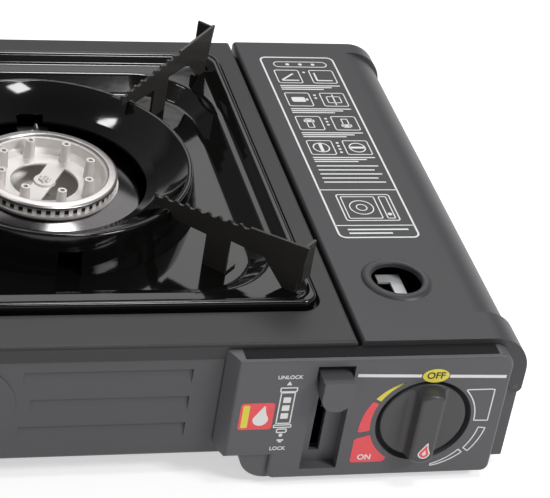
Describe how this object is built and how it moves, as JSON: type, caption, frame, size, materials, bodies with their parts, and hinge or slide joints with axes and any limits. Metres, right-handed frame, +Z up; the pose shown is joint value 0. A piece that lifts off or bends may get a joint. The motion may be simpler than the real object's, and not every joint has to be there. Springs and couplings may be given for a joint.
{
  "type": "portable gas stove",
  "caption": "Portable table gas stove with an enamelled drip pan, serrated pan supports, a burner, a gas knob, a lock lever and a cartridge bay under a hinged lid.",
  "frame": {"origin": "on the ground under the middle of the stove's bounding box", "axes": "+X to the cartridge bay's side, +Y to the back, +Z up; the control panel faces -Y"},
  "size_m": [0.334, 0.2932, 0.104],
  "materials": {
    "charcoal_paint": "matte",
    "black_enamel": "gloss",
    "panel_plastic": "satin",
    "knob_plastic": "satin",
    "inner_plastic": "matte",
    "cast_aluminium": "satin",
    "plated_steel": "zinc plated",
    "brass": "plain",
    "white_ceramic": "glazed",
    "black_rubber": "matte"
  },
  "bodies": {
    "stove_body": {"top_plate": "charcoal_paint", "body_case": "charcoal_paint", "cartridge_tray": "charcoal_paint", "partition_wall": "plated_steel", "control_panel": "panel_plastic", "panel_screws": "plated_steel", "base_screws": "plated_steel", "feet_left": "black_rubber", "feet_right": "black_rubber", "burner_base": "cast_aluminium", "burner_head": "cast_aluminium", "burner_dish": "black_enamel", "burner_bracket": "plated_steel", "burner_screws": "plated_steel", "mixing_tube": "cast_aluminium", "jet_holder": "brass", "jet_stirrup": "plated_steel", "electrode_plate": "plated_steel", "electrode_ceramic": "white_ceramic", "electrode_tip": "plated_steel", "regulator_body": "cast_aluminium", "regulator_cap": "plated_steel", "inlet_seal": "black_rubber", "cartridge_guide": "plated_steel", "guide_screws": "plated_steel", "igniter_body": "inner_plastic", "ignition_lead": "black_rubber", "gas_pipe": "brass", "lever_pivot": "plated_steel", "lever_spring": "plated_steel", "slider_rivets": "plated_steel", "hinge_pins": "plated_steel"},
    "lid": {"cartridge_lid": "charcoal_paint"},
    "gas_knob": {"knob": "knob_plastic", "valve_spindle": "brass", "igniter_cam": "inner_plastic"},
    "plunger": {"igniter_plunger": "inner_plastic"},
    "lock_lever": {"lever_arm": "plated_steel", "lever_tab": "panel_plastic", "drive_pin": "plated_steel"},
    "slider": {"cartridge_slider": "plated_steel"},
    "pan_set": {"drip_pan": "black_enamel", "wind_ring": "black_enamel", "pan_support_back_right": "black_enamel", "pan_support_back_left": "black_enamel", "pan_support_front_left": "black_enamel", "pan_support_front_right": "black_enamel"}
  },
  "joints": [
    {"name": "lid_hinge", "type": "hinge", "parent": "stove_body", "child": "lid", "pos_m": [0.1638, 0, 0.0485], "axis": [0, 1, 0], "range_deg": [0, 105]},
    {"name": "knob_turn", "type": "hinge", "parent": "stove_body", "child": "gas_knob", "pos_m": [0.1166, -0.1386, 0.0373], "axis": [0, -1, 0], "range_deg": [0, 130]},
    {"name": "plunger_slide", "type": "slide", "parent": "stove_body", "child": "plunger", "axis": [1, 0, 0], "range_m": [0, 0.004]},
    {"name": "lever_swing", "type": "hinge", "parent": "stove_body", "child": "lock_lever", "pos_m": [0.0675, -0.0894, 0.043], "axis": [1, 0, 0], "range_deg": [0, 33.4]},
    {"name": "slider_pull", "type": "slide", "parent": "stove_body", "child": "slider", "axis": [0, -1, 0], "range_m": [0, 0.00921]},
    {"name": "pan_lift", "type": "slide", "parent": "stove_body", "child": "pan_set", "axis": [0, 0, 1], "range_m": [0, 0.06]}
  ],
  "couplings": [
    {"joint": "plunger_slide", "follows": "knob_turn", "m_per_rad": 0.001762},
    {"joint": "slider_pull", "follows": "lever_swing", "m_per_rad": 0.015774}
  ]
}
